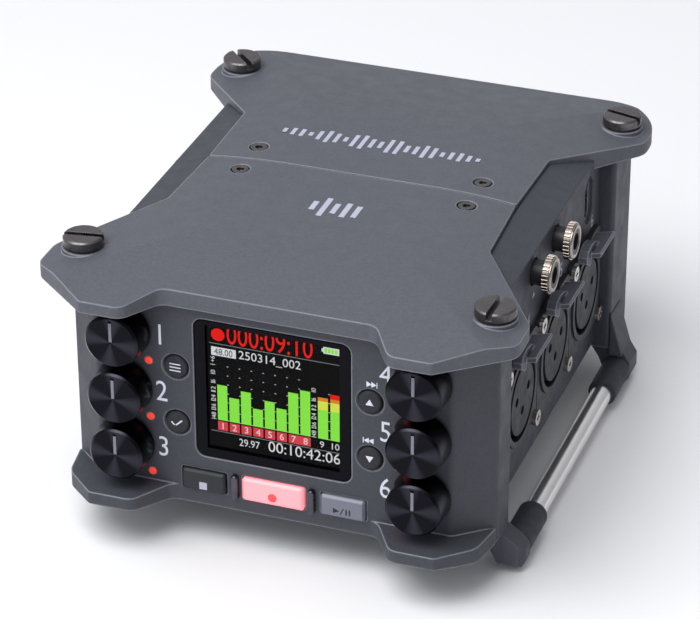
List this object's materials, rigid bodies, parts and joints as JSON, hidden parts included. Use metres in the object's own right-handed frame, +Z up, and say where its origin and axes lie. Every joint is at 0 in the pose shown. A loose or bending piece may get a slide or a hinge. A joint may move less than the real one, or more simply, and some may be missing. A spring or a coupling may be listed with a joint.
{
  "type": "portable field recorder",
  "caption": "Compact metal audio recorder with gain knobs, a colour display, transport buttons, locking microphone inputs, strap rods and a slide-out battery tray.",
  "frame": {"origin": "centre of the whole body's box, on the resting surface", "axes": "+X to the user's right, +Y to the back, +Z up"},
  "size_m": [0.1, 0.1194, 0.0625],
  "materials": {
    "cover_paint": "fine matte slate-grey powder coat",
    "frame_paint": "fine matte slate-grey powder coat",
    "panel_black": "matte dark grey paint",
    "screw_gunmetal": "turned and blackened steel",
    "socket_screw_steel": "bright nickel plate",
    "jack_chrome": "bright nickel plate, cut with ribs",
    "window_glass": "clear window with a black border",
    "display_face": "colour liquid crystal display, lit",
    "button_rubber": "matte rubber",
    "stop_black": "satin plastic",
    "play_grey": "milky translucent plastic, unlit",
    "record_lens": "milky translucent plastic, lit red",
    "guard_black": "satin plastic",
    "lamp_red": "lit red lens",
    "board_green": "solder-masked glass-epoxy board",
    "keypad_rubber": "moulded silicone rubber",
    "control_zinc": "plated steel",
    "insert_black": "moulded black plastic",
    "jack_body": "moulded black plastic",
    "knob_black": "black anodised, spun faces",
    "port_steel": "drawn steel shell",
    "slider_black": "satin plastic",
    "card_rubber": "matte rubber",
    "tray_plastic": "moulded black plastic",
    "cell_wrap": "shrink-wrapped dry cells",
    "shoe_black": "moulded black plastic",
    "rod_steel": "ground stainless steel",
    "sleeve_rubber": "matte rubber",
    "bracket_black": "matte dark grey paint",
    "bush_brass": "machined brass",
    "socket_black": "moulded black plastic",
    "latch_grey": "satin grey coated sheet"
  },
  "bodies": {
    "case": {"base_screws": "screw_gunmetal", "battery_shoe": "shoe_black", "bottom_cover": "panel_black", "corner_screws": "screw_gunmetal", "cover_screws": "screw_gunmetal", "display_module": "display_face", "display_window": "window_glass", "front_board": "board_green", "front_frame": "frame_paint", "gain_controls": "control_zinc", "headphone_jack": "jack_body", "input_socket_1": "socket_black", "input_socket_2": "socket_black", "input_socket_3": "socket_black", "input_socket_4": "socket_black", "input_socket_5": "socket_black", "input_socket_6": "socket_black", "jack_collars": "jack_chrome", "keypad_mat": "keypad_rubber", "level_lamps": "lamp_red", "line_jack": "jack_body", "main_board": "board_green", "rear_frame": "frame_paint", "record_guards": "guard_black", "rod_brackets": "bracket_black", "rod_sleeves": "sleeve_rubber", "side_panel_left": "panel_black", "side_panel_right": "panel_black", "socket_inserts": "insert_black", "socket_screws": "socket_screw_steel", "strap_rods": "rod_steel", "timecode_jack": "jack_body", "top_cover_front": "cover_paint", "top_cover_rear": "cover_paint", "tripod_bush": "bush_brass", "usb_port": "port_steel"},
    "knob_1": {"knob_1": "knob_black"},
    "knob_2": {"knob_2": "knob_black"},
    "knob_3": {"knob_3": "knob_black"},
    "knob_4": {"knob_4": "knob_black"},
    "knob_5": {"knob_5": "knob_black"},
    "knob_6": {"knob_6": "knob_black"},
    "phones_knob": {"phones_knob": "knob_black"},
    "menu_button": {"menu_button": "button_rubber"},
    "enter_button": {"enter_button": "button_rubber"},
    "up_button": {"up_button": "button_rubber"},
    "down_button": {"down_button": "button_rubber"},
    "stop_button": {"stop_button": "stop_black"},
    "record_button": {"record_button": "record_lens"},
    "play_button": {"play_button": "play_grey"},
    "socket_latch_1": {"socket_latch_1": "latch_grey"},
    "socket_latch_2": {"socket_latch_2": "latch_grey"},
    "socket_latch_3": {"socket_latch_3": "latch_grey"},
    "socket_latch_4": {"socket_latch_4": "latch_grey"},
    "socket_latch_5": {"socket_latch_5": "latch_grey"},
    "socket_latch_6": {"socket_latch_6": "latch_grey"},
    "power_slider": {"power_slider": "slider_black"},
    "card_cover": {"card_cover": "card_rubber"},
    "battery_tray": {"battery_tray": "tray_plastic", "battery_cells": "cell_wrap"}
  },
  "joints": [
    {"name": "knob_1_turn", "type": "hinge", "parent": "case", "child": "knob_1", "pos_m": [-0.0315, -0.04935, 0.0477], "axis": [0, -1, 0], "range_deg": [-150, 150]},
    {"name": "knob_2_turn", "type": "hinge", "parent": "case", "child": "knob_2", "pos_m": [-0.0315, -0.04935, 0.0347], "axis": [0, -1, 0], "range_deg": [-150, 150]},
    {"name": "knob_3_turn", "type": "hinge", "parent": "case", "child": "knob_3", "pos_m": [-0.0315, -0.04935, 0.0217], "axis": [0, -1, 0], "range_deg": [-150, 150]},
    {"name": "knob_4_turn", "type": "hinge", "parent": "case", "child": "knob_4", "pos_m": [0.0315, -0.04935, 0.0477], "axis": [0, -1, 0], "range_deg": [-150, 150]},
    {"name": "knob_5_turn", "type": "hinge", "parent": "case", "child": "knob_5", "pos_m": [0.0315, -0.04935, 0.0347], "axis": [0, -1, 0], "range_deg": [-150, 150]},
    {"name": "knob_6_turn", "type": "hinge", "parent": "case", "child": "knob_6", "pos_m": [0.0315, -0.04935, 0.0217], "axis": [0, -1, 0], "range_deg": [-150, 150]},
    {"name": "phones_knob_turn", "type": "hinge", "parent": "case", "child": "phones_knob", "pos_m": [-0.0433, -0.00995, 0.0483], "axis": [-1, 0, 0], "range_deg": [-150, 150]},
    {"name": "menu_button_press", "type": "slide", "parent": "case", "child": "menu_button", "axis": [0, 1, 0], "range_m": [0, 0.0005], "stiffness_N_per_m": 400},
    {"name": "enter_button_press", "type": "slide", "parent": "case", "child": "enter_button", "axis": [0, 1, 0], "range_m": [0, 0.0005], "stiffness_N_per_m": 400},
    {"name": "up_button_press", "type": "slide", "parent": "case", "child": "up_button", "axis": [0, 1, 0], "range_m": [0, 0.0005], "stiffness_N_per_m": 400},
    {"name": "down_button_press", "type": "slide", "parent": "case", "child": "down_button", "axis": [0, 1, 0], "range_m": [0, 0.0005], "stiffness_N_per_m": 400},
    {"name": "stop_button_press", "type": "slide", "parent": "case", "child": "stop_button", "axis": [0, 1, 0], "range_m": [0, 0.0005], "stiffness_N_per_m": 400},
    {"name": "record_button_press", "type": "slide", "parent": "case", "child": "record_button", "axis": [0, 1, 0], "range_m": [0, 0.0005], "stiffness_N_per_m": 400},
    {"name": "play_button_press", "type": "slide", "parent": "case", "child": "play_button", "axis": [0, 1, 0], "range_m": [0, 0.0005], "stiffness_N_per_m": 400},
    {"name": "socket_latch_1_press", "type": "slide", "parent": "case", "child": "socket_latch_1", "axis": [0, 0, -1], "range_m": [0, 0.0007], "stiffness_N_per_m": 500},
    {"name": "socket_latch_2_press", "type": "slide", "parent": "case", "child": "socket_latch_2", "axis": [0, 0, -1], "range_m": [0, 0.0007], "stiffness_N_per_m": 500},
    {"name": "socket_latch_3_press", "type": "slide", "parent": "case", "child": "socket_latch_3", "axis": [0, 0, -1], "range_m": [0, 0.0007], "stiffness_N_per_m": 500},
    {"name": "socket_latch_4_press", "type": "slide", "parent": "case", "child": "socket_latch_4", "axis": [0, 0, -1], "range_m": [0, 0.0007], "stiffness_N_per_m": 500},
    {"name": "socket_latch_5_press", "type": "slide", "parent": "case", "child": "socket_latch_5", "axis": [0, 0, -1], "range_m": [0, 0.0007], "stiffness_N_per_m": 500},
    {"name": "socket_latch_6_press", "type": "slide", "parent": "case", "child": "socket_latch_6", "axis": [0, 0, -1], "range_m": [0, 0.0007], "stiffness_N_per_m": 500},
    {"name": "power_slider_travel", "type": "slide", "parent": "case", "child": "power_slider", "axis": [0, 1, 0], "range_m": [0, 0.004]},
    {"name": "card_cover_swing", "type": "hinge", "parent": "case", "child": "card_cover", "pos_m": [-0.0426, 0.02465, 0.0459], "axis": [0, -1, 0], "range_deg": [0, 90]},
    {"name": "battery_tray_pull", "type": "slide", "parent": "case", "child": "battery_tray", "axis": [0, 1, 0], "range_m": [0, 0.056]}
  ]
}
